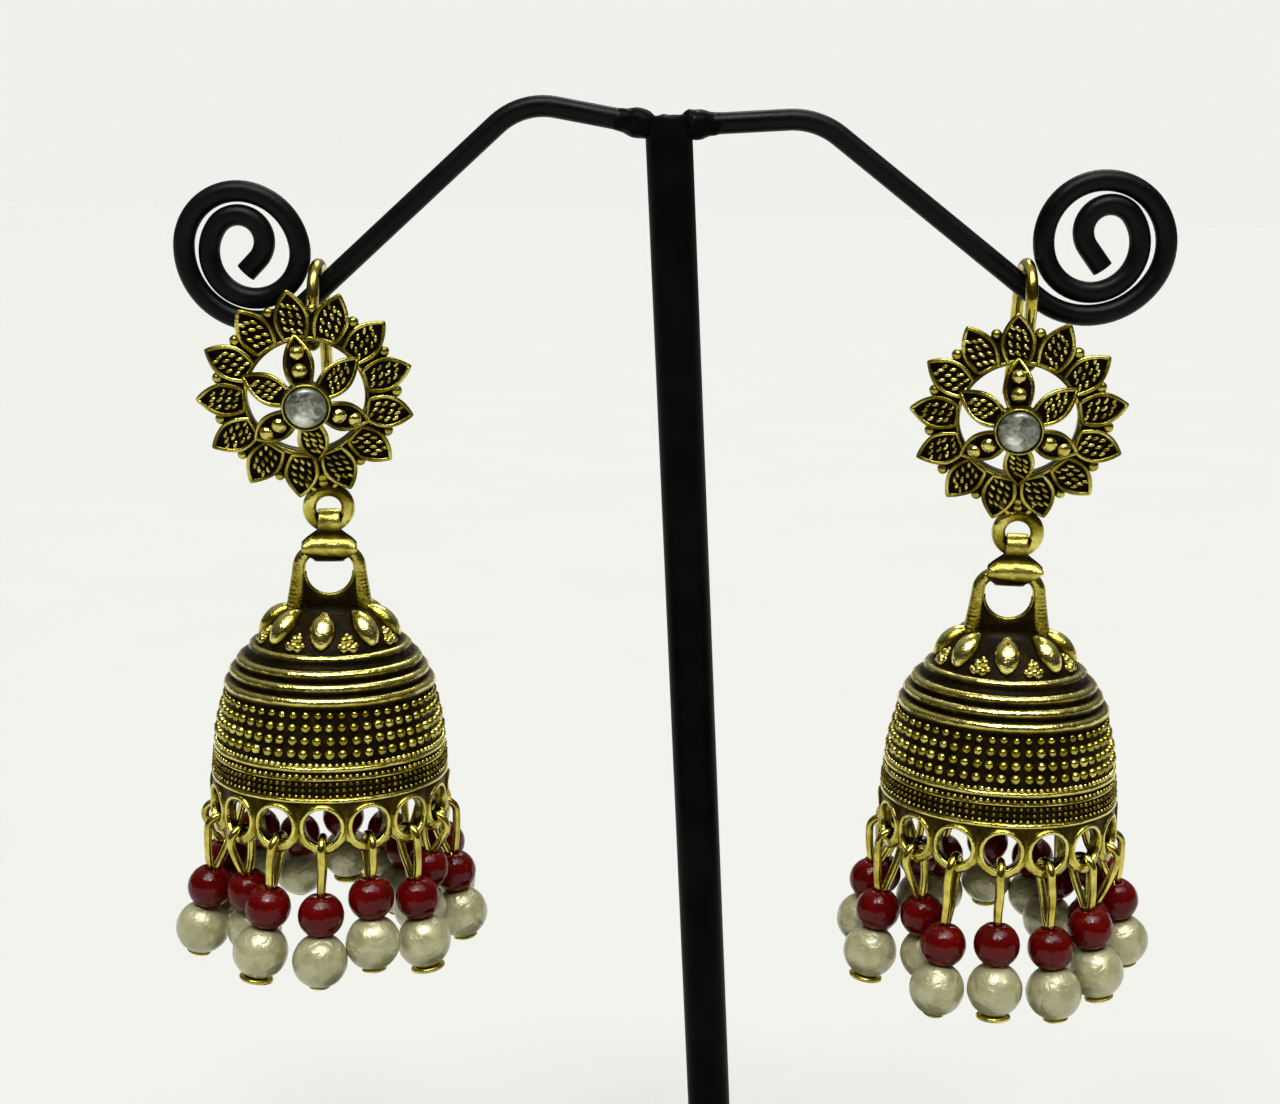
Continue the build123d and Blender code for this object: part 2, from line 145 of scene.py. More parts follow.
# turn, distance and radius of each small ball in a cluster
CLUSTER = [(-7, 5.02, 0.24), (-4, 5.14, 0.34), (-0.4, 5.06, 0.38), (3.4, 5.15, 0.35),
           (6.8, 5.0, 0.27), (-2.2, 4.76, 0.33), (2.2, 4.72, 0.35), (0.3, 4.5, 0.22)]
RIM_RADIUS = 8.8
RIM_INNER = 8.15
RIM_TOP = -16.75
RIM_FOOT = 2.0
HOLES = 16
HOLE_HEIGHT = -18.7
HOLE_RADIUS = 1.34
CELL_CIRCLE = 8.95
CELL_HALF = pi * CELL_CIRCLE / HOLES
FOOT_ANGLE = 42
CUSP_ANGLE = 60.3
CUSP_DROP = 1.0

# drops
PIN_WIRE = 0.3
PIN_BEND = 0.96
PIN_REACH = 8.55
PIN_HEIGHT = -20.48
# radius and half height
RED_BEAD = (1.67, 1.45)
PEARL_BEAD = (2.0, 1.8)
BEAD_GAP = 0.04
BORE = 0.4
HEAD_RADIUS = 1.25
HEAD_THICKNESS = 0.35

# the turn of each bell's holes and of its crown's petals from its front, the drops whose
# pin heads are hammered out full, and the seed of its pearls' unevenness
TURNS = {"left": dict(holes=-4.0, crown=-7.0, broad=(2, 8, 15), seed=100),
         "right": dict(holes=1.6, crown=0.0, broad=(0, 9, 13), seed=200)}

# stand
POST_RADIUS = 1.7
POST_CUT = 0.45
COLLAR_ENDS = (2.15, 2.7)
WELD_RADII = [0.76, 0.86, 1.06, 1.08, 0.98, 0.6]

# camera: metres, degrees and millimetres of lens
EYE = (-0.0083, -0.14692, 0.09848)
CAMERA_PITCH = 10.5
CAMERA_ROLL = 1.25
LENS = 53.44
FLOOR_RINGS = [0, 60, 200, 600, 2000, 14000]
BACKDROP = (0.868, 0.874, 0.838, 1)

# azimuth from the viewer's side towards the right, elevation, strength and angular size
LIGHTS = {"key_left": (-24, 62, 1.25, 32), "key_middle": (14, 68, 1.2, 32),
          "key_right": (52, 60, 0.6, 32), "lamp_left": (-28, 52, 0.3, 8),
          "lamp_middle": (6, 58, 0.5, 9), "back_fill": (170, 50, 0.8, 32)}
# how bright the room is, from low on the viewer's side to high behind
ROOM = [(0.0, 0.1), (0.3, 0.04), (0.45, 0.05), (0.62, 0.12), (0.85, 0.34)]


# ---- places and meshes ----
def floats(values):
    return np.asarray(values, float)


def spread_out(value, count):
    """One number, or one for each of count points, as count numbers."""
    return np.broadcast_to(floats(value), count)


def unit(vector):
    return vector / np.linalg.norm(vector)


def units(rows):
    return rows / np.linalg.norm(rows, axis=1)[:, None]


def headings(line, closed=False):
    """Which way a line runs at each of its points."""
    return units(np.roll(line, -1, 0) - np.roll(line, 1, 0) if closed else np.gradient(line, axis=0))


class Place:
    """A local frame: its origin and its three axes, in millimetres of the row frame."""

    def __init__(self, origin, x, y, z):
        self.origin = np.array(origin, float)
        self.axes = np.array((x, y, z), float)

    def out(self, points):
        """Local points as points of the row frame."""
        return self.origin + floats(points) @ self.axes

    def inward(self, points):
        """Points of the row frame as local points."""
        return (floats(points) - self.origin) @ self.axes.T


class Form:
    """Gathers the points, faces and lifts of one mesh."""

    def __init__(self):
        self.points, self.faces, self.lifts = [], [], []
        self.count = 0

    def add(self, points, faces, lift=1.0):
        points = floats(points).reshape(-1, 3)
        self.points.append(points)
        self.lifts.append(spread_out(lift, len(points)))
        self.faces.extend(np.asarray(block) + self.count for block in faces)
        self.count += len(points)

    def all_points(self):
        return np.concatenate(self.points)


def put_in(name, data):
    """A new object in the scene."""
    made = bpy.data.objects.new(name, data)
    scene.collection.objects.link(made)
    return made


def new_object(name, form, points, material):
    """An object with a form's faces over points in millimetres."""
    mesh = bpy.data.meshes.new(name)
    faces = [face for block in form.faces for face in block.tolist()]
    mesh.from_pydata((points * MM).tolist(), [], faces)
    mesh.materials.append(material)
    return put_in(name, mesh)


def make_piece(name, form, place, body, slot, node=None):
    """A smooth piece that rides on a body and may stand for a CAD node."""
    piece = new_object(name, form, place.out(form.all_points()), FINISHES[slot])
    mesh = piece.data
    attribute = mesh.attributes.new("lift", "FLOAT", "POINT")
    attribute.data.foreach_set("value", np.concatenate(form.lifts).astype(np.float32))
    work = bmesh.new()
    work.from_mesh(mesh)
    bmesh.ops.remove_doubles(work, verts=work.verts, dist=1e-8)
    bmesh.ops.recalc_face_normals(work, faces=work.faces)
    work.to_mesh(mesh)
    work.free()
    mesh.polygons.foreach_set("use_smooth", np.ones(len(mesh.polygons), bool))
    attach(piece, body)
    if node:
        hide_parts(node)
    return piece


def grid_faces(rows, columns, wrap_rows=False, wrap_columns=False):
    """The quads of a grid of points listed row by row."""
    row = np.arange(rows if wrap_rows else rows - 1)[:, None]
    column = np.arange(columns if wrap_columns else columns - 1)[None, :]
    below = (row + 1) % rows
    beside = (column + 1) % columns
    corners = (row * columns + column, row * columns + beside,
               below * columns + beside, below * columns + column)
    shape = np.broadcast_shapes(row.shape, column.shape)
    return np.stack([np.broadcast_to(corner, shape) for corner in corners], -1).reshape(-1, 4)


def fan(centre, ring):
    """The triangles from one point to a closed ring of points."""
    return np.stack([np.full(len(ring), centre), ring, np.roll(ring, -1)], -1)


def round_angles(count):
    """Evenly spaced angles once round, in radians."""
    return np.arange(count) * 2 * pi / count


def ball(form, middle, radii, lift, axes=None, rings=5, around=10):
    """A closed ball or egg round a point, with its poles along the third axis."""
    polar = np.linspace(0, pi, rings + 2)[1:-1]
    angle = round_angles(around)
    shell = np.stack([np.outer(np.sin(polar), np.cos(angle)), np.outer(np.sin(polar), np.sin(angle)),
                      np.outer(np.cos(polar), np.ones(around))], -1).reshape(-1, 3)
    points = np.concatenate([shell, [(0, 0, 1), (0, 0, -1)]]) * floats(radii)
    if axes is not None:
        points = points @ floats(axes)
    count = rings * around
    faces = [grid_faces(rings, around, wrap_columns=True), fan(count, np.arange(around)),
             fan(count + 1, np.arange(count - around, count))]
    form.add(points + floats(middle), faces, lift)


def tube(form, path, radius, around=12, closed=False, lift=1.0):
    """A round wire along a path, with its ends closed by low domes."""
    path = floats(path)
    count = len(path)
    heading = headings(path, closed)
    side = np.cross(heading[0], (0.31, 0.22, 0.92))
    sides = []
    for along in heading:
        side = unit(side - along * (side @ along))
        sides.append(side)
    sides = np.array(sides)
    ups = np.cross(heading, sides)
    angle = round_angles(around)
    radius = spread_out(radius, count)[:, None, None]
    ring = np.cos(angle)[:, None] * sides[:, None] + np.sin(angle)[:, None] * ups[:, None]
    points = (path[:, None] + ring * radius).reshape(-1, 3)
    lifts = np.repeat(spread_out(lift, count), around)
    faces = [grid_faces(count, around, wrap_rows=closed, wrap_columns=True)]
    if not closed:
        total = count * around
        caps = [path[0] - heading[0] * radius[0, 0, 0] * 0.35,
                path[-1] + heading[-1] * radius[-1, 0, 0] * 0.35]
        points = np.concatenate([points, caps])
        lifts = np.concatenate([lifts, [lifts[0], lifts[-1]]])
        faces += [fan(total, np.arange(around)), fan(total + 1, np.arange(total - around, total))]
    form.add(points, faces, lifts)


def lathe(form, outline, around, lift=1.0, bend=None):
    """A closed turned shape from an outline of radius and height, from axis to axis.

    bend changes the radius and height of the points at each angle.
    """
    outline = floats(outline)
    angle = round_angles(around)
    radius = np.repeat(outline[:, :1], around, 1)
    height = np.repeat(outline[:, 1:], around, 1)
    if bend is not None:
        radius, height = bend(radius, height, angle[None, :])
    points = np.stack([radius * np.sin(angle), -radius * np.cos(angle), height], -1)
    lifts = spread_out(lift, len(outline))
    form.add(points, [grid_faces(len(outline), around, wrap_columns=True)], np.repeat(lifts, around))


def smooth_line(points, steps):
    """A smooth curve through a few points, by Catmull and Rom's formula."""
    points = floats(points)
    ends = np.concatenate([[2 * points[0] - points[1]], points, [2 * points[-1] - points[-2]]])
    t = (np.arange(steps) / steps)[:, None]
    pieces = []
    for before, start, end, after in zip(ends, ends[1:], ends[2:], ends[3:]):
        pieces.append(0.5 * (2 * start + (end - before) * t
                             + (2 * before - 5 * start + 4 * end - after) * t ** 2
                             + (3 * start - before - 3 * end + after) * t ** 3))
    return np.concatenate(pieces + [points[-1:]])


def lengths(line):
    """How far each point of a line lies along it."""
    steps = np.linalg.norm(np.diff(line, axis=0), axis=1)
    return np.concatenate([[0], np.cumsum(steps)])


def upright(line, depth=0.0):
    """A flat line stood upright, at a depth behind the middle."""
    return np.stack([line[:, 0], np.broadcast_to(depth, len(line)), line[:, 1]], -1)


def arc(middle, radius, start, end, steps):
    """Points on an arc in a plane."""
    angle = np.radians(np.linspace(start, end, steps))
    return np.stack([middle[0] + radius * np.cos(angle), middle[1] + radius * np.sin(angle)], -1)


def direction(angle):
    """The outward direction at an angle from a bell's front towards its right."""
    return np.array((sin(radians(angle)), -cos(radians(angle)), 0))


# ---- materials ----
class Nodes:
    """A node tree, with short calls for the nodes used here."""

    def __init__(self, tree):
        self.tree = tree

    def feed(self, socket, value):
        """Sets a socket, or links it to another node's output."""
        if isinstance(value, bpy.types.NodeSocket):
            self.tree.links.new(value, socket)
        else:
            socket.default_value = value

    def feed_all(self, node, inputs):
        for name, value in inputs.items():
            self.feed(node.inputs[name.replace("_", " ")], value)

    def add(self, kind, operation=None, **inputs):
        node = self.tree.nodes.new("ShaderNode" + kind)
        if operation:
            node.operation = operation
        self.feed_all(node, inputs)
        return node

    def math(self, operation, *values):
        node = self.add("Math", operation)
        for socket, value in zip(node.inputs, values):
            self.feed(socket, value)
        return node.outputs[0]

    def ramp(self, source, *stops):
        """A colour ramp; each stop is its place and its colour or grey."""
        node = self.add("ValToRGB", Fac=source)
        elements = node.color_ramp.elements
        while len(elements) < len(stops):
            elements.new(0.5)
        for element, (position, colour) in zip(elements, stops):
            element.position = position
            colour = (colour,) * 3 if isinstance(colour, (int, float)) else colour
            element.color = (*colour, 1)
        return node.outputs["Color"]


class Paint(Nodes):
    """A material's nodes, with the place on the piece in millimetres."""

    def __init__(self, name):
        self.material = bpy.data.materials.new(name)
        self.material.use_nodes = True
        super().__init__(self.material.node_tree)
        self.shader = self.tree.nodes["Principled BSDF"]
        where = self.add("TexCoord").outputs["Object"]
        self.place = self.add("VectorMath", "SCALE", Vector=where, Scale=1 / MM).outputs[0]

    def finish(self, colour, rough, **inputs):
        """Feeds the shader and gives the material."""
        self.feed_all(self.shader, {"Base_Color": colour, "Roughness": rough, **inputs})
        return self.material

    def noise(self, size, detail=3, rough=0.55, distort=0.0):
        """Noise whose features are about size millimetres across."""
        node = self.add("TexNoise", Vector=self.place, Scale=1 / size, Detail=detail,
                        Roughness=rough, Distortion=distort)
        return node.outputs["Fac"]

    def lift(self):
        node = self.add("Attribute")
        node.attribute_name = "lift"
        return node.outputs["Fac"]

    def bump(self, height, strength, depth):
        """The normal of a bump whose full height is depth millimetres."""
        node = self.add("Bump", Height=height, Strength=strength, Distance=depth * MM)
        return node.outputs["Normal"]


def antique_gold():
    """Gold tops over black oxide, darker where the lift is low: oxide in recesses, and painted shade
    where the lift carries it.
    """
    paint = Paint("antique_gold")
    grain = paint.noise(0.16)
    level = paint.math("MULTIPLY_ADD", paint.noise(0.9, 4), 0.5, paint.lift())
    level = paint.math("MULTIPLY_ADD", grain, 0.34, level)
    level = paint.math("SUBTRACT", level, 0.42)
    colour = paint.ramp(level, (0.0, (0.005, 0.003, 0.0008)), (0.12, (0.014, 0.009, 0.0015)),
                        (0.36, (0.07, 0.05, 0.004)), (0.6, (0.26, 0.205, 0.014)),
                        (0.78, (0.5, 0.43, 0.08)), (1.0, (0.86, 0.76, 0.23)))
    rough = paint.ramp(level, (0.1, 0.46), (0.5, 0.27), (0.9, 0.14))
    metal = paint.ramp(level, (0.04, 0.1), (0.34, 1.0))
    cast = paint.math("MULTIPLY_ADD", grain, 0.3, paint.noise(0.4))
    return paint.finish(colour, rough, Metallic=metal, Specular_IOR_Level=0.04,
                        Normal=paint.bump(cast, 0.8, 0.07))


def gold_wire():
    """Plain gold-tone metal with a little tarnish and fine unevenness."""
    paint = Paint("gold_wire")
    grain = paint.noise(0.25)
    tint = paint.ramp(paint.noise(1.1, 4), (0.3, (0.3, 0.23, 0.02)), (0.62, (0.72, 0.61, 0.13)))
    rough = paint.ramp(grain, (0.3, 0.1125), (0.7, 0.2025))
    return paint.finish(tint, rough, Metallic=1.0, Normal=paint.bump(grain, 0.6, 0.02))


def link_gold():
    """Bright folded sheet, darker where the lift is low: dark oxide and a painted shadow in its
    waist, painted shade low on its barrel.
    """
    paint = Paint("link_gold")
    patch = paint.noise(0.8, 4)
    level = paint.math("MULTIPLY_ADD", patch, 0.7, paint.lift())
    level = paint.math("SUBTRACT", level, 0.52)
    colour = paint.ramp(level, (0.1, (0.02, 0.014, 0.002)), (0.5, (0.17, 0.125, 0.008)),
                        (0.9, (0.74, 0.64, 0.13)))
    rough = paint.ramp(level, (0.1, 0.42), (0.8, 0.27))
    dents = paint.math("MULTIPLY_ADD", paint.noise(0.3), 0.25, patch)
    return paint.finish(colour, rough, Metallic=1.0, Normal=paint.bump(dents, 0.8, 0.12))


def black_coating(name, rough, gloss):
    """A satin black coat with a fine orange-peel surface and faint dust."""
    paint = Paint(name)
    patch = paint.noise(3.5, 4)
    colour = paint.ramp(patch, (0.35, (0.0012, 0.0014, 0.0015)), (0.75, (0.0034, 0.0036, 0.0038)))
    rough = paint.ramp(patch, (0.3, rough * 0.85), (0.7, rough * 1.2))
    return paint.finish(colour, rough, Specular_IOR_Level=gloss,
                        Normal=paint.bump(paint.noise(0.35, 4), 0.5, 0.05))


def red_bead():
    """Deep red lacquer with soft clouds and small dimples."""
    paint = Paint("red_bead")
    dimple = paint.noise(0.45, 2)
    cloud = paint.noise(1.4, 4)
    colour = paint.ramp(cloud, (0.3, (0.056, 0.0006, 0.0005)), (0.7, (0.1, 0.0013, 0.001)))
    rough = paint.ramp(dimple, (0.35, 0.05), (0.7, 0.11))
    return paint.finish(colour, rough, Specular_IOR_Level=0.2, Normal=paint.bump(dimple, 0.6, 0.08))


def pearl():
    """A creamy pearl coat with a soft lustre, faint clouds and wrinkles."""
    paint = Paint("pearl")
    cloud = paint.noise(1.8, 4, 0.5, 0.8)
    wrinkle = paint.noise(1.2, 3, 0.45, 1.6)
    colour = paint.ramp(cloud, (0.35, (0.32, 0.302, 0.15)), (0.65, (0.46, 0.44, 0.25)))
    rough = paint.ramp(wrinkle, (0.35, 0.3), (0.7, 0.42))
    return paint.finish(colour, rough, Metallic=0.32, Coat_Weight=0.6,
                        Coat_Roughness=0.16, Normal=paint.bump(wrinkle, 0.9, 0.19))


def clear_stone():
    """A clear stone over scuffed grey foil, with a painted highlight where the lift is high."""
    paint = Paint("clear_stone")
    streak = paint.noise(0.8, 5, 0.6, 1.8)
    # The lift adds a painted highlight to the foil's scuffed streaks, up to near white.
    foil_and_painted_highlight = paint.math("MULTIPLY_ADD", paint.lift(), 0.5, streak)
    colour = paint.ramp(foil_and_painted_highlight, (0.36, (0.035, 0.04, 0.026)), (0.55, (0.15, 0.16, 0.115)),
                        (0.74, (0.4, 0.41, 0.34)), (0.96, (0.95, 0.95, 0.9)))
    rough = paint.ramp(streak, (0.3, 0.25), (0.7, 0.45))
    return paint.finish(colour, rough, Metallic=0.35, Coat_Weight=1.0, Coat_Roughness=0.03)


def pale_floor():
    """Matt white card, very faintly clouded."""
    paint = Paint("pale_floor")
    colour = paint.ramp(paint.noise(60.0), (0.3, (0.588, 0.594, 0.562)), (0.7, (0.596, 0.602, 0.57)))
    rough = paint.ramp(paint.noise(25.0), (0.3, 0.75), (0.7, 0.85))
    return paint.finish(colour, rough, Specular_IOR_Level=0.1)


FINISHES = {
    "antique_gold": antique_gold(), "gold_wire": gold_wire(), "polished_gold": link_gold(),
    "black_coated_metal": black_coating("black_coating", 0.34, 0.022),
    "black_coated_wire": black_coating("black_wire", 0.36, 0.1), "red_bead": red_bead(),
    "pearl": pearl(), "clear_grey_stone": clear_stone()}


# ---- flower, on the plane of its back ----
@dataclass
class Leaf:
    """A pointed leaf's outline and the height of its top; t runs from its root to its tip."""
    root: float
    tip: float
    half: float
    widest: float
    opening: float
    thickness: float
    first_seed: float
    top: object

    def reach(self, t):
        return self.root + (self.tip - self.root) * t

    def width(self, t):
        """Half the leaf's width."""
        swell = self.opening + (1 - self.opening) * np.sin(pi / 2 * np.clip(t / self.widest, 0, 1))
        taper = 1 - np.clip((t - self.widest) / (1 - self.widest), 0, 1) ** 1.9
        return self.half * swell * taper


def star_top(reach):
    """The height of the star's shallow dome at a distance from its middle."""
    return STAR_TOP - STAR_DOME + np.sqrt(STAR_DOME ** 2 - floats(reach) ** 2)


def petal_top(reach):
    """The petals fall a little from the wreath towards their tips."""
    share = (floats(reach) - PETAL_ROOT) / (PETAL_TIP - PETAL_ROOT)
    return ROOT_HEIGHT + (TIP_HEIGHT - ROOT_HEIGHT) * share


PETAL = Leaf(PETAL_ROOT, PETAL_TIP, half=1.12, widest=0.42, opening=0.66, thickness=0.5,
             first_seed=0.16, top=petal_top)
STAR_LEAF = Leaf(1.2, 4.7, half=0.97, widest=0.46, opening=0.45, thickness=0.55,
                 first_seed=0.3, top=star_top)


def leaf_axes(angle):
    """The directions along and across a leaf that points out at an angle."""
    along = np.array((cos(radians(angle)), sin(radians(angle)), 0))
    return along, np.array((-along[1], along[0], 0))


def leaf_body(form, angle, leaf):
    """The leaf's plate: a dark dished top over a flat back."""
    rows, columns = 13, 9
    count = rows * columns
    along, across = leaf_axes(angle)
    t = np.linspace(0.0, 1.0, rows)[:, None]
    s = np.linspace(-1, 1, columns)[None, :]
    reach = leaf.reach(t)
    flat = reach[..., None] * along + (leaf.width(t) * s)[..., None] * across
    upper = flat + (leaf.top(reach) - LEAF_HOLLOW * (1 - s ** 2))[..., None] * UP
    lower = flat + (leaf.top(reach) - leaf.thickness)[..., None] * UP
    sheet = grid_faces(rows, columns)
    grid = np.arange(count).reshape(rows, columns)
    rim = np.concatenate([grid[0], grid[1:, -1], grid[-1, -2::-1], grid[-2:0:-1, 0]])
    wall = np.stack([rim, np.roll(rim, -1), np.roll(rim, -1) + count, rim + count], -1)
    lift = np.repeat((-0.04, 0.3), count)
    form.add(np.concatenate([upper, lower]), [sheet, sheet + count, wall], lift)


def leaf_rim(form, angle, leaf):
    """The raised wire round a leaf."""
    along, across = leaf_axes(angle)
    t = np.concatenate([np.linspace(0.0, 0.88, 15), [0.94, 0.98, 1.0]])
    side = np.repeat((1, -1), (len(t), len(t) - 1))
    t = np.concatenate([t, t[-2::-1]])
    reach = leaf.reach(t)
    path = (reach[:, None] * along + (leaf.width(t) * side)[:, None] * across
            + (leaf.top(reach) + LEAF_WIRE * 0.3)[:, None] * UP)
    run = np.linspace(0, 9, len(t)) + angle
    tube(form, path, LEAF_WIRE * (1 + 0.1 * np.sin(2.3 * run)), around=8, closed=True,
         lift=0.62 + 0.2 * np.sin(run))


def leaf_seeds(form, angle, leaf):
    """Slanting rice-shaped grains inside a leaf."""
    along, across = leaf_axes(angle)
    for row in range(SEED_ROWS):
        t = leaf.first_seed + (SEED_LAST - leaf.first_seed) * row / SEED_ROWS
        width = leaf.width(t) - LEAF_WIRE
        for place in ((-1, 0, 1) if width > 0.62 * leaf.half else (-0.5, 0.5)):
            reach = leaf.reach(t + 0.045 * place + 0.012 * chance.standard_normal())
            slant = radians(SEED_SLANT + 7 * chance.standard_normal())
            lengthwise = along * cos(slant) + across * sin(slant)
            middle = along * reach + across * width * 0.6 * place + UP * (leaf.top(reach) - 0.04)
            ball(form, middle, SEED, 0.58 + 0.35 * chance.random(),
                 (lengthwise, np.cross(UP, lengthwise), UP), 4, 8)


def star(form):
    """Six leaves: three hold a pair of balls and three hold grains."""
    for number in range(6):
        angle = 30 + 60 * number
        leaf_body(form, angle, STAR_LEAF)
        leaf_rim(form, angle, STAR_LEAF)
        along, _ = leaf_axes(angle)
        if number % 2:
            for reach, size in STAR_BALLS:
                middle = along * reach + UP * (star_top(reach) + 0.1)
                ball(form, middle, size, 0.85, rings=7, around=14)
        else:
            leaf_seeds(form, angle, STAR_LEAF)


def wreath(form):
    """The flat ring under the petals, its inner wire and the granules between the petals."""
    lathe(form, [(WREATH_INNER, 0.1), (WREATH_OUTER, 0.05), (WREATH_OUTER + 0.1, 0.25),
                 (WREATH_OUTER, 0.5), (WREATH_INNER + 0.25, 1.12), (WREATH_INNER, 1.0),
                 (WREATH_INNER, 0.1)],
          around=104, lift=[0.38, 0.38, 0.35, 0.12, 0.1, 0.3, 0.38])
    turn = np.radians(np.arange(0, 360, 4))
    ring = np.stack([np.cos(turn), np.sin(turn), np.zeros(len(turn))], -1)
    tube(form, ring * (WREATH_INNER + 0.14) + UP * (ROOT_HEIGHT - 0.08), WREATH_WIRE, around=10,
         closed=True, lift=0.55 + 0.25 * np.sin(5 * turn))
    for number in range(PETALS):
        along, _ = leaf_axes(90 + (number + 0.5) * 360 / PETALS)
        size = GRANULE_RADIUS * (0.9 + 0.2 * chance.random())
        reach = GRANULE_CIRCLE + 0.08 * chance.standard_normal()
        ball(form, along * reach + UP * GRANULE_HEIGHT, size, 0.72, rings=7, around=14)


def bezel(form):
    """The turned cup that holds the stone."""
    outline = [(0.0, 3.0), (0.0, 3.3), (STONE_RADIUS, 3.35), (STONE_RADIUS, 3.85),
               (STONE_RADIUS + 0.05, BEZEL_TOP), (STONE_RADIUS + 0.13, BEZEL_TOP + 0.05),
               (BEZEL_RADIUS, BEZEL_TOP - 0.06), (BEZEL_RADIUS + 0.02, 3.5),
               (BEZEL_RADIUS + 0.08, 3.2), (BEZEL_RADIUS, 2.8), (1.0, 2.6), (0.0, 2.6)]
    lathe(form, outline, 64, [0.1, 0.1, 0.3, 0.5, 0.65, 0.75, 0.6, 0.3, 0.15, 0.1, 0.2, 0.2])


def bottom_ring(form):
    """The thick ring under the flower, its seat and the ball over it."""
    turn = np.radians(np.arange(0, 360, 6))
    ring = np.stack([RING_RADIUS * np.sin(turn), -RING_CENTRE + RING_RADIUS * np.cos(turn),
                     np.full(len(turn), PLATE_THICKNESS / 2)], -1)
    tube(form, ring, RING_WIRE, around=18, closed=True, lift=0.62 + 0.25 * np.cos(turn * 2 + 2))
    ball(form, (0, -6.75, 0.62), 0.42, 0.7, rings=7, around=14)
    for hand in (-1, 1):
        strut = [(hand * 1.25, -6.3, 0.62), (hand * 0.85, -7.1, 0.66), (hand * 0.35, -7.55, 0.62)]
        tube(form, strut, 0.2, around=8, lift=0.8)
    ball(form, (0, -7.0, 0.36), (1.35, 0.8, 0.26), 0.12, rings=5, around=16)


def solder_pad(form, pad):
    """The block behind the flower that takes the end of the ear hook."""
    block = Form()
    lathe(block, [(0, -0.45), (0.75, -0.4), (0.85, -0.1), (0.7, 0.3), (0, 0.35)], 24)
    form.add(block.all_points() * (1, 1.4, 1) + pad, block.faces, 0.5)


def make_flower(side, place, pad):
    """The cast flower, a single piece."""
    form = Form()
    for number in range(PETALS):
        angle = 90 + number * 360 / PETALS
        leaf_body(form, angle, PETAL)
        leaf_rim(form, angle, PETAL)
        leaf_seeds(form, angle, PETAL)
    wreath(form)
    star(form)
    bezel(form)
    bottom_ring(form)
    solder_pad(form, pad)
    make_piece(f"{side}_flower_piece", form, place, "stand", "antique_gold", f"{side}_flower")


def make_stone(side, place):
    """The domed stone, with a painted highlight, a pale spot low on its left."""
    form = Form()
    edge = STONE_RADIUS - 0.03
    crown = smooth_line([(0, STONE_TOP), (0.7, STONE_TOP - 0.1), (1.3, STONE_TOP - 0.42),
                         (edge, 3.95)], 6)
    lathe(form, np.concatenate([crown, [(edge, 3.4), (0, 3.4)]]), 64)
    x, y, _ = form.points[0].T
    # Painted highlight: the lift is a bright spot low on the stone's left.
    form.lifts = [np.exp(-((x + 0.35) ** 2 + (y + 0.75) ** 2) / 0.45)]
    make_piece(f"{side}_stone_piece", form, place, "stand", "clear_grey_stone", f"{side}_stone")


# ---- link ----
def link_route():
    """The closed run of the sheet's middle, seen from the side, and its outward normals."""
    meet_eye = degrees(asin(WAIST_HALF / EYE_RADIUS))
    meet_barrel = degrees(asin(WAIST_HALF / BARREL_RADIUS))
    over = arc((0, -EYE_DROP), EYE_RADIUS, -90 + meet_eye, 270 - meet_eye, 44)
    under = arc((0, -BARREL_DROP), BARREL_RADIUS, 90 + meet_barrel, 450 - meet_barrel, 72)
    route = np.concatenate([over, under])
    heading = headings(route, closed=True)
    return route, np.stack([heading[:, 1], -heading[:, 0]], -1)


def link_width(height, slide):
    """The sheet's middle and half width at each height.

    It is narrow over the flower's ring and wide over the bell's bar. The barrel's lower
    corners are cut back, so that they clear the bell's loop when the bell tips.
    """
    swell = 1 - np.abs((height - BARREL_MIDDLE) / BARREL_SPAN) ** 2.6
    barrel = BARREL_HALF * np.clip(swell, 0, 1) ** 0.38
    cut = CORNER_SLOPE * np.clip(CORNER_TOP - height, 0, CORNER_DEPTH)
    shift = slide * np.clip((SLIDE_TOP - height) / 0.3, 0, 1)
    low = np.maximum(-BARREL_HALF, shift - BARREL_HALF + cut)
    high = np.minimum(BARREL_HALF, shift + BARREL_HALF - cut)
    least = STRAP_HALF + (LIP_HALF - STRAP_HALF) * np.clip((STRAP_FOOT - height) / 0.4, 0, 1)
    return (low + high) / 2, np.minimum((barrel ** 5 + least ** 5) ** 0.2, (high - low) / 2)


def make_link(side, place, slide):
    """A folded strip whose inside and outside are joined along its edges."""
    route, normal = link_route()
    height = route[:, 1]
    middle, half = link_width(height, slide)
    rounding = (0.2 * np.clip((height - SLIDE_TOP) / 0.4, 0, 1)
                * np.clip((STRAP_FOOT - height) / 0.3, 0, 1))
    # Rubbed bright strap, with oxide and a painted shadow in the waist under the flower's ring, and
    # painted shade over the barrel's lower part.
    wear_and_painted_shade = (0.96 - 0.95 * np.exp(-((height - WAIST_HEIGHT) / 0.42) ** 2)
            - 0.5 * np.clip((-3.1 - height) / 0.45, 0, 1))
    across = np.linspace(-1, 1, 17)
    points = []
    lift = []
    for through, line in ((1, across), (-1, across[::-1])):
        for share in line:
            reach = middle + half * share
            depth = SHEET_HALF * through * (1 - 0.35 * share ** 8) - rounding * share ** 4
            points.append(np.stack([reach, route[:, 0] + normal[:, 0] * depth,
                                    height + normal[:, 1] * depth], -1))
            seam = np.exp(-((height - SEAM_HEIGHT + 0.11 * reach) / 0.06) ** 2)
            lift.append(wear_and_painted_shade - 0.95 * seam if through > 0 else np.full(len(height), 0.15))
    form = Form()
    form.add(np.stack(points, 1), [grid_faces(len(route), len(points), True, True)],
             np.stack(lift, 1).reshape(-1))
    body = f"{side}_link"
    piece = make_piece(f"{body}_piece", form, place, body, "polished_gold", body)
    smooth = piece.modifiers.new("smooth", "SUBSURF")
    smooth.levels = 1
    smooth.render_levels = 1


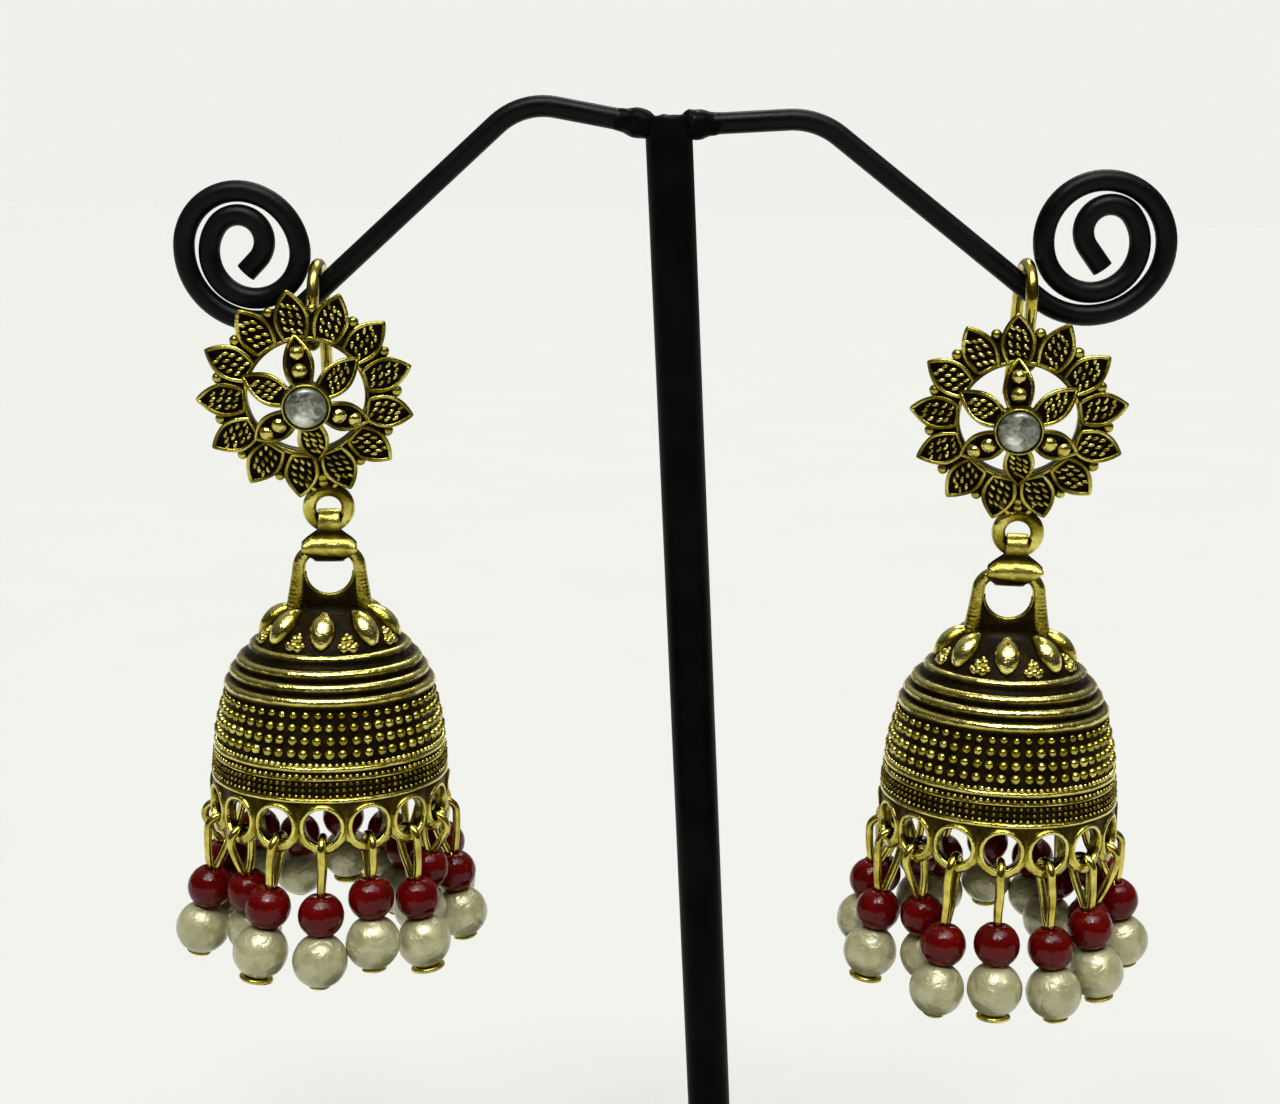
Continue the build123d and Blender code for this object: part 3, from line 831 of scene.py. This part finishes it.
# ---- bell, in a frame at the middle of the bar of its loop ----
def make_loop(form):
    """The hammered loop on top of the bell and the dark web between its flanks."""
    corner = arc((LOOP_HALF_HEAD, -LOOP_CORNER), LOOP_CORNER, 90, LOOP_FLARE, 16)
    flank = np.linspace(corner[-1], LOOP_FOOT, 18)[1:]
    half = np.concatenate([np.linspace((0, 0), corner[0], 5)[:-1], corner, flank])
    outline = np.concatenate([half[:0:-1] * (-1, 1), half])
    fine = smooth_line(upright(outline), 4)
    down = np.clip(-fine[:, 2] / 4.5, 0, 1)
    run = lengths(fine)
    ripple = np.sin(run * 2 * pi / LOOP_HAMMER + 0.9 * np.sin(run * 1.7))
    faint = 0.5 + 0.5 * np.sin(run * 1.3)
    radius = LOOP_WIRE + 0.2 * down ** 2 + 0.006 * ripple * faint
    tube(form, fine, radius, around=16, lift=0.78 + 0.04 * ripple * faint - 0.22 * down)
    bottom = arc((0, HOLE_TOP), HOLE_HALF + 0.12, 180, 360, 25)
    tube(form, upright(bottom), 0.2, around=10, lift=0.6)
    base = np.stack([bottom[:, 0] / bottom[-1, 0] * 2.5, np.full(len(bottom), LOOP_FOOT[1])], -1)
    shares = np.linspace(0, 1, 6)
    web = []
    for depth, order in ((-WEB_HALF, shares), (WEB_HALF, shares[::-1])):
        web += [upright(bottom * (1 - share) + base * share, depth) for share in order]
    form.add(np.stack(web), [grid_faces(len(web), len(bottom), wrap_rows=True)], 0.08)


def crown_petal(form, angle, crown):
    """A glossy raised drop on the shoulder, pointed at its top."""
    rows, around = 13, 16
    outward = direction(angle)
    sideways = np.cross(outward, UP)
    s = np.linspace(0, 1, rows)
    reach = CROWN_PETAL_ROOT + CROWN_PETAL_LENGTH * s
    height = np.interp(reach, crown[:, 0], crown[:, 1])
    norm = units(np.stack([-np.gradient(height, reach), np.ones(rows)], -1))
    half = CROWN_PETAL_HALF * np.sin(pi * s ** 1.2) ** 0.66 * (0.62 + 0.38 * s)
    rise = CROWN_PETAL_RISE * np.sin(pi * s ** 1.15) ** 0.6
    turn = round_angles(around)
    points = (reach[:, None, None] * outward + height[:, None, None] * UP
              + (half[:, None] * np.cos(turn))[..., None] * sideways
              + (rise[:, None] * np.sin(turn))[..., None]
              * (norm[:, :1] * outward + norm[:, 1:] * UP)[:, None])
    lift = np.clip(0.35 + 0.75 * np.sin(turn), 0.05, 1.0)
    form.add(points, [grid_faces(rows, around, wrap_columns=True)], np.tile(lift, rows))


def granules(form, angle, crown):
    """A cluster of small balls between the lower ends of two petals."""
    for shift, reach, size in CLUSTER:
        size *= 0.85 + 0.3 * chance.random()
        shift += 0.6 * chance.standard_normal()
        height = np.interp(reach, crown[:, 0], crown[:, 1])
        ball(form, direction(angle + shift) * reach + UP * (height + 0.05), size, 0.82)


def wavy_ridges(outline, run):
    """Moves the turned outline out along its normals where a ridge or a band stands."""
    heading = headings(outline)
    normal = np.stack([-heading[:, 1], heading[:, 0]], -1)
    swells = []
    for number, (radius, height, half) in enumerate(RIDGES + BANDS):
        nearest = run[np.argmin(np.hypot(outline[:, 0] - radius, outline[:, 1] - height))]
        swells.append((number, nearest, half))

    def bend(radius, height, angle):
        push = np.zeros_like(radius + angle)
        for number, nearest, half in swells:
            wave = (np.sin(5 * angle + number * 2.1) + 0.7 * np.sin(13 * angle + number)
                    + 0.5 * np.sin(29 * angle + 2 * number))
            wide = half * (1 + 0.035 * wave)
            away = (run[:, None] - nearest - 0.018 * wave) / wide
            bump = np.sqrt(np.clip(1 - away ** 2, 0, 1))
            high = half * (1.05 if number < len(RIDGES) else 0.8) * (1 + 0.05 * wave)
            push = np.maximum(push, bump * high)
        return radius + push * normal[:, :1], height + push * normal[:, 1:]

    return bend, swells


def dome_shell(form):
    """The dome's ridged outside and its plain inside; gives the smooth outer outline."""
    rough = smooth_line(CROWN + SHOULDER, 12)
    rough_run = lengths(rough)
    run = np.linspace(0, rough_run[-1], OUTLINE_STEPS)
    outline = np.stack([np.interp(run, rough_run, line) for line in rough.T], -1)
    bend, swells = wavy_ridges(outline, run)
    # Dark oxide on the ground and rubbed gold on each ridge; the gold band is shifted above the
    # crest, so the ridge's lower flank is painted shade.
    lift = np.full(len(run), 0.06)
    for _, nearest, half in swells:
        away = (run - nearest + 0.16 * half) / half / 0.8
        lift = np.maximum(lift, np.clip(1.12 - away ** 2, 0, 1))
    lathe(form, outline, DOME_AROUND, lift, bend)
    inside = smooth_line([(8.85, RIM_TOP - 0.15), (RIM_INNER, RIM_TOP - 0.1), (7.75, -14.4),
                          (7.2, -11.4), (6.3, -9.0), (4.9, -7.2), (2.8, -5.9), (0.01, -5.5)], 5)
    closing = np.concatenate([outline[-1:], inside])
    lathe(form, closing, DOME_AROUND, np.linspace(0.5, 0.2, len(closing)) ** 1.5)
    return outline


def dots_and_beads(form, outline):
    """The rows of round dots round the dome, and the rows of fine beads below them."""
    for height, size in DOT_ROWS:
        radius = np.interp(-height, -outline[:, 1], outline[:, 0]) + 0.02
        for number in range(DOT_COLUMNS):
            outward = direction((number + 0.036 * chance.standard_normal()) * 360 / DOT_COLUMNS)
            middle = outward * radius + UP * (height + 0.012 * chance.standard_normal())
            scale = size * (1 + 0.05 * chance.standard_normal())
            ball(form, middle, scale, 0.22 + size + 0.28 * chance.random())
    for height, size, shine in BEAD_ROWS:
        radius = np.interp(-height, -outline[:, 1], outline[:, 0]) + 0.09
        for number in range(BEADS):
            outward = direction(number * 360 / BEADS)
            middle = outward * radius + UP * (height + 0.01 * chance.standard_normal())
            scale = BEAD_SHAPE * size * (1 + 0.12 * chance.standard_normal())
            ball(form, middle, scale, shine * (0.75 + 0.3 * chance.random()), rings=4, around=8)


def rim_reach(angle):
    """How far a rim cell runs from its hole's middle at an angle from straight down."""
    side = CELL_HALF / max(sin(radians(angle)), 1e-6)
    top = (RIM_TOP - HOLE_HEIGHT) / max(-cos(radians(angle)), 1e-6)
    cusp = hypot(CELL_HALF, CUSP_DROP)
    if angle < CUSP_ANGLE:
        share = max(0.0, (angle - FOOT_ANGLE) / (CUSP_ANGLE - FOOT_ANGLE))
        return RIM_FOOT + (cusp - RIM_FOOT) * share ** 1.6
    return side if angle < 90 else min(side, top)


def rim_rows(from_foot):
    """A cell's rings of points: distance from the hole's middle, radius on the bell, and lift."""
    reach = np.array([rim_reach(angle) for angle in from_foot])
    ground = np.interp(from_foot, [0, 60, 75, 105, 130], [0.8, 0.75, 0.55, 0.45, 0.12])
    thick = np.interp(from_foot, [0, 60, 90], [0.14, 0.12, 0.0])
    rows = [(reach, RIM_INNER, ground), (np.full_like(reach, HOLE_RADIUS), RIM_INNER, 0.45)]
    for step in (0, 0.04, 0.1, 0.17, 0.24, 0.3, 0.34):
        crest = sqrt(max(0.0, 1 - ((step - 0.14) / 0.2) ** 2))
        rows.append((np.minimum(HOLE_RADIUS + step, reach),
                     RIM_RADIUS + np.maximum(0.2 * crest, thick * (step > 0.1)),
                     np.maximum(0.3 + 0.6 * crest, ground)))
    rows.append((reach, RIM_RADIUS + thick * 0.6, ground))
    return rows


def make_rim(form, first_hole):
    """Sixteen cells, each a raised ring round a hole over a dark plate."""
    corner = 180 - degrees(atan2(CELL_HALF, RIM_TOP - HOLE_HEIGHT))
    half = np.concatenate([np.linspace(0, CUSP_ANGLE, 12)[:-1],
                           np.linspace(CUSP_ANGLE, corner, 10)[:-1], np.linspace(corner, 180, 8)])
    turn = np.concatenate([half, 360 - half[-2:0:-1]])
    from_foot = np.minimum(turn, 360 - turn)
    across = np.sin(np.radians(turn))
    down = -np.cos(np.radians(turn))
    rows = rim_rows(from_foot)
    columns = len(turn)
    grid = grid_faces(len(rows), columns, wrap_columns=True)
    foot_walls = grid_faces(len(rows), columns, True, True)[-columns:][from_foot < 62]
    for number in range(HOLES):
        points = []
        for distance, radius, _ in rows:
            cell = np.degrees(distance * across / CELL_CIRCLE)
            spin = np.radians(first_hole + number * 360 / HOLES + cell)
            out = radius + 0.02 * np.sin(turn / 17 + number)
            points.append(np.stack([out * np.sin(spin), -out * np.cos(spin),
                                    HOLE_HEIGHT + distance * down], -1))
        lifts = np.concatenate([np.broadcast_to(lift, columns) for _, _, lift in rows])
        form.add(np.stack(points), [grid, foot_walls], lifts)


def make_bell(side, place):
    """The bell's dome, its loop and its rim, three pieces."""
    body = f"{side}_bell"
    dome, loop, rim = Form(), Form(), Form()
    outline = dome_shell(dome)
    dots_and_beads(dome, outline)
    crown = outline[:CROWN_STEPS]
    for number in range(CROWN_PETALS):
        angle = TURNS[side]["crown"] + number * 360 / CROWN_PETALS
        crown_petal(dome, angle, crown)
        granules(dome, angle + 180 / CROWN_PETALS, crown)
    make_loop(loop)
    make_rim(rim, TURNS[side]["holes"])
    make_piece(f"{body}_dome", dome, place, body, "antique_gold", body)
    make_piece(f"{body}_loop", loop, place, body, "antique_gold")
    make_piece(f"{body}_rim", rim, place, body, "antique_gold")


# ---- drops ----
def bead_outline(radius, half_height):
    """A bored ball with its ends cut flat."""
    start = degrees(asin(half_height / radius))
    shell = arc((0, 0), radius, start, -start, 22)
    edge = shell[0][0] - 0.03
    return np.concatenate([[(BORE, 0), (BORE, half_height), (edge, half_height)], shell,
                           [(edge, -half_height), (BORE, -half_height), (BORE, 0)]])


def uneven(seed, depth):
    """Low wrinkles and flats for a bead that isn't quite round."""
    waves = np.random.default_rng(seed).uniform(-1, 1, (5, 4))

    def bend(radius, height, angle):
        swell = 0
        for number, (a, b, c, d) in enumerate(waves, 1):
            swell = swell + np.sin(number * angle + 3 * a + (1.2 + b) * height) * (0.5 + c) / number
            swell = swell + 0.3 * np.sin((3 + 2 * number) * height + 6 * d + number * angle) / number
        keep = np.clip((radius - BORE) / 0.6, 0, 1)
        return radius + depth * swell * keep, height

    return bend


def pin_loop(form, foot, number):
    """The pin's loop, hung in its hole, with its legs closing down to the red bead."""
    crown = arc((0, -PIN_BEND), PIN_BEND, 0, 180, 19)
    legs = np.linspace((PIN_BEND, -PIN_BEND), (0.17, foot), 12)
    legs[:, 0] += 0.1 * np.sin(np.linspace(0, pi, 12))
    loop = np.concatenate([legs[:0:-1], crown, legs[1:] * (-1, 1)])
    tube(form, upright(loop, 0.03 * np.sin(loop[:, 1] * 2 + number)), PIN_WIRE)


def pin_head(form, top, broad, number):
    """The pin's flat head, hammered a little out of round."""
    wide = HEAD_RADIUS * broad
    low = top - HEAD_THICKNESS * broad

    def bend(radius, height, angle):
        return radius * (1 + 0.03 * np.sin(2 * angle + number)), height

    lathe(form, [(0, top), (wide - 0.12, top), (wide, top - 0.08), (wide, low + 0.1),
                 (wide - 0.15, low), (0, low)], 32, bend=bend)


def thread_bead(form, pin, height, size, around, bend):
    """A bead at a height on its pin."""
    bead = Form()
    lathe(bead, bead_outline(*size), around, bend=bend)
    form.add(pin.out(bead.all_points() + UP * height), bead.faces)


def make_drop(side, number, bell, pearl_middle, pins, reds):
    """A loop pin in its hole, with its red bead, its pearl and the flat head below."""
    outward = direction(TURNS[side]["holes"] + number * 360 / HOLES)
    hang = outward * PIN_REACH + UP * PIN_HEIGHT
    down = unit(pearl_middle - hang)
    out = unit(outward - down * (outward @ down))
    top = hang - down * PIN_BEND
    pin = Place(top, out, np.cross(-down, out), -down)
    pearl_height = -((pearl_middle - top) @ down)
    red_height = pearl_height + PEARL_BEAD[1] + BEAD_GAP + RED_BEAD[1]
    join = red_height + RED_BEAD[1] - 0.15
    head = pearl_height - PEARL_BEAD[1]
    wire = Form()
    pin_loop(wire, join, number)
    tube(wire, [(0, 0, join + 0.2), (0, 0, head - 0.1)], PIN_WIRE * 0.85, around=8)
    broad = 1 if number in TURNS[side]["broad"] else 0.6 + 0.12 * (number % 3)
    pin_head(wire, head - BEAD_GAP, broad, number)
    pins.add(pin.out(wire.all_points()), wire.faces)
    thread_bead(reds, pin, red_height, RED_BEAD, 40, uneven(number + 50, 0.012))
    nacre = Form()
    unlike = uneven(number + TURNS[side]["seed"], 0.022)
    thread_bead(nacre, pin, pearl_height, PEARL_BEAD, 48, unlike)
    name = f"{side}_pearl_{number + 1:02d}"
    make_piece(f"{name}_piece", nacre, bell, f"{side}_bell", "pearl", name)


def make_drops(side, place):
    """A drop in each hole; the pins are one piece and so are the red beads."""
    pins = Form()
    reds = Form()
    for number in range(HOLES):
        low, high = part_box(f"{side}_pearl_{number + 1:02d}")
        middle = place.inward(np.array((low + high) / 2) / MM)
        make_drop(side, number, place, middle, pins, reds)
    body = f"{side}_bell"
    make_piece(f"{side}_pins_piece", pins, place, body, "gold_wire", f"{side}_drop_pins")
    make_piece(f"{side}_reds_piece", reds, place, body, "red_bead", f"{side}_red_beads")


# ---- earring and stand ----
def node_points(name):
    """A CAD node's points, in millimetres."""
    return np.array([vertex.co for vertex in frame["nodes"][name].data.vertices]) / MM


def hinge(name):
    """A joint's place, in millimetres, and its axis."""
    joint = next(joint for joint in frame["joints"] if joint["name"] == name)
    return np.array(joint["pos_m"]) / MM, unit(np.array(joint["axis"]))


def make_earring(side):
    """Places an earring's pieces by its joints, its stone and its hook."""
    ring, face = hinge(f"{side}_swing")
    bar, right = hinge(f"{side}_tip")
    back = np.cross(UP, right)
    towards = node_points(f"{side}_stone").mean(0) - ring
    above = unit(towards - face * (towards @ face))
    flower = Place(ring + above * RING_CENTRE - face * PLATE_THICKNESS / 2, np.cross(above, face),
                   above, face)
    hook = node_points(f"{side}_ear_hook")
    strand = hook[hook[:, 1] < hook[:, 1].min() + 1.2]
    pad = flower.inward(strand[np.argmin(strand[:, 2])]) + (0, 0.9, 0)
    pad[2] = -0.1
    make_flower(side, flower, pad)
    make_stone(side, flower)
    slide = (bar - ring) @ right
    make_link(side, Place(bar - right * slide + UP * BAR_DROP, right, back, UP), slide)
    bell = Place(bar, right, back, UP)
    make_bell(side, bell)
    make_drops(side, bell)


def weld(form, place, side, top):
    """The lumpy neck that joins an arm's end to the post."""
    arm = node_points(f"{side}_arm")
    away = np.abs(arm[:, 0] - top[0])
    inner, outer = COLLAR_ENDS
    ends = [arm[away < inner], arm[(away > inner) & (away < outer)]]
    near, far = place.inward([(end.min(0) + end.max(0)) / 2 for end in ends])
    collar = (near + far) / 2
    along = unit(far - near)
    hand = np.sign(collar[0])
    height = place.inward(top)[2]
    path = [collar + along * step for step in (1.7, 0.9, 0.3, -0.3)]
    path += [(hand * 1.5, collar[1], height - 1.15), (hand * 0.9, collar[1], height - 1.3)]
    fine = smooth_line(path, 5)
    share = np.linspace(0, len(path) - 1, len(fine))
    tube(form, fine, np.interp(share, np.arange(len(path)), WELD_RADII), around=24)
    lump = form.points[-1]
    lump += 0.05 * np.sin(5.3 * lump[:, [1, 2, 0]] + (1, 2, 3)) * np.sin(3.1 * lump[:, [2, 0, 1]])


def make_post():
    """The post, with the shallow dish and the uneven lip of its sawn top, and its welds."""
    points = node_points("stand_post")
    middle = (points[:, 2].min() + points[:, 2].max()) / 2
    foot = points[points[:, 2] < middle].mean(0)
    top = points[points[:, 2] > middle].mean(0)
    up = unit(top - foot)
    right = unit(np.cross((0, 1, 0), up))
    place = Place(foot, right, np.cross(up, right), up)
    length = np.linalg.norm(top - foot) - POST_CUT
    outline = [(0, 0), (POST_RADIUS, 0)]
    outline += [(POST_RADIUS, height) for height in np.linspace(1, length - 1.2, 24)]
    outline += [(radius, length - drop) for radius, drop in (
        (1.69, 0.5), (1.67, 0.24), (1.6, 0.08), (1.48, 0.01), (1.34, 0.02), (1.15, 0.1), (0.8, 0.2),
        (0, 0.26))]

    def bend(radius, height, angle):
        rough = 0.5 * np.sin(3 * angle + 1) + 0.35 * np.sin(7 * angle) + 0.3 * np.sin(12 * angle + 2)
        near = np.clip((height - length + 0.6) / 0.6, 0, 1) * (radius > 1)
        return radius * (1 - 0.012 * near * (1 + rough)), height - 0.07 * near * (1 + rough)

    form = Form()
    lathe(form, outline, 64, bend=bend)
    for side in SIDES:
        weld(form, place, side, top)
    make_piece("stand_post_piece", form, place, "stand", "black_coated_metal", "stand_post")


def finish_cad(name, slot):
    """Gives a CAD node that stays visible its material."""
    materials = frame["nodes"][name].data.materials
    materials.clear()
    materials.append(FINISHES[slot])


# ---- camera, lights and floor ----
def make_camera():
    """A camera that looks back and a little down, with its horizon a little rolled."""
    pitch, roll = radians(CAMERA_PITCH), radians(CAMERA_ROLL)
    ahead = Vector((0, cos(pitch), -sin(pitch)))
    level = Vector((1, 0, 0))
    over = Vector((0, sin(pitch), cos(pitch)))
    right = level * cos(roll) + over * sin(roll)
    up = over * cos(roll) - level * sin(roll)
    data = bpy.data.cameras.new("camera")
    data.lens = LENS
    data.clip_start = 0.005
    data.clip_end = 40.0
    camera = put_in("camera", data)
    camera.matrix_world = Matrix((right, up, -ahead)).transposed().to_4x4()
    camera.matrix_world.translation = EYE
    scene.camera = camera


def make_sun(name, azimuth, elevation, strength, spread):
    """A far soft light."""
    data = bpy.data.lights.new(name, "SUN")
    data.energy = strength
    data.angle = radians(spread)
    lamp = put_in(name, data)
    high = radians(elevation)
    source = direction(azimuth) * cos(high) + UP * sin(high)
    lamp.rotation_mode = "QUATERNION"
    lamp.rotation_quaternion = Vector(source).to_track_quat("Z", "Y")


def make_world():
    """A pale room: bright overhead and behind, darker to the sides and on the viewer's side."""
    world = bpy.data.worlds.new("studio")
    world.use_nodes = True
    room = Nodes(world.node_tree)
    x, y, z = room.add("SeparateXYZ", Vector=room.add("TexCoord").outputs["Generated"]).outputs
    high = room.math("MULTIPLY_ADD", room.math("ABSOLUTE", x), -0.35, z)
    high = room.math("MULTIPLY_ADD", y, 0.42, high)
    spread = room.add("MapRange", Value=high, From_Min=-1.1, From_Max=1.1).outputs[0]
    light = room.ramp(spread, *[(position, (grey, grey, grey * 0.97)) for position, grey in ROOM])
    lit = room.tree.nodes["Background"]
    room.feed(lit.inputs["Color"], light)
    seen = room.add("Background", Color=BACKDROP)
    mix = room.add("MixShader", Fac=room.add("LightPath").outputs["Is Camera Ray"])
    for socket, shader in zip(mix.inputs[1:], (lit, seen)):
        room.feed(socket, shader.outputs[0])
    room.feed(room.tree.nodes["World Output"].inputs["Surface"], mix.outputs[0])
    scene.world = world


def make_floor():
    """A wide round floor."""
    form = Form()
    lathe(form, [(reach, 0) for reach in FLOOR_RINGS], 96)
    new_object("floor", form, form.all_points(), pale_floor())


make_camera()
make_world()
for light_name, settings in LIGHTS.items():
    make_sun(light_name, *settings)
make_floor()
make_post()
finish_cad("stand_base", "black_coated_metal")
for side_name in SIDES:
    finish_cad(f"{side_name}_arm", "black_coated_wire")
    finish_cad(f"{side_name}_ear_hook", "gold_wire")
    make_earring(side_name)
scene.view_settings.view_transform = "Standard"
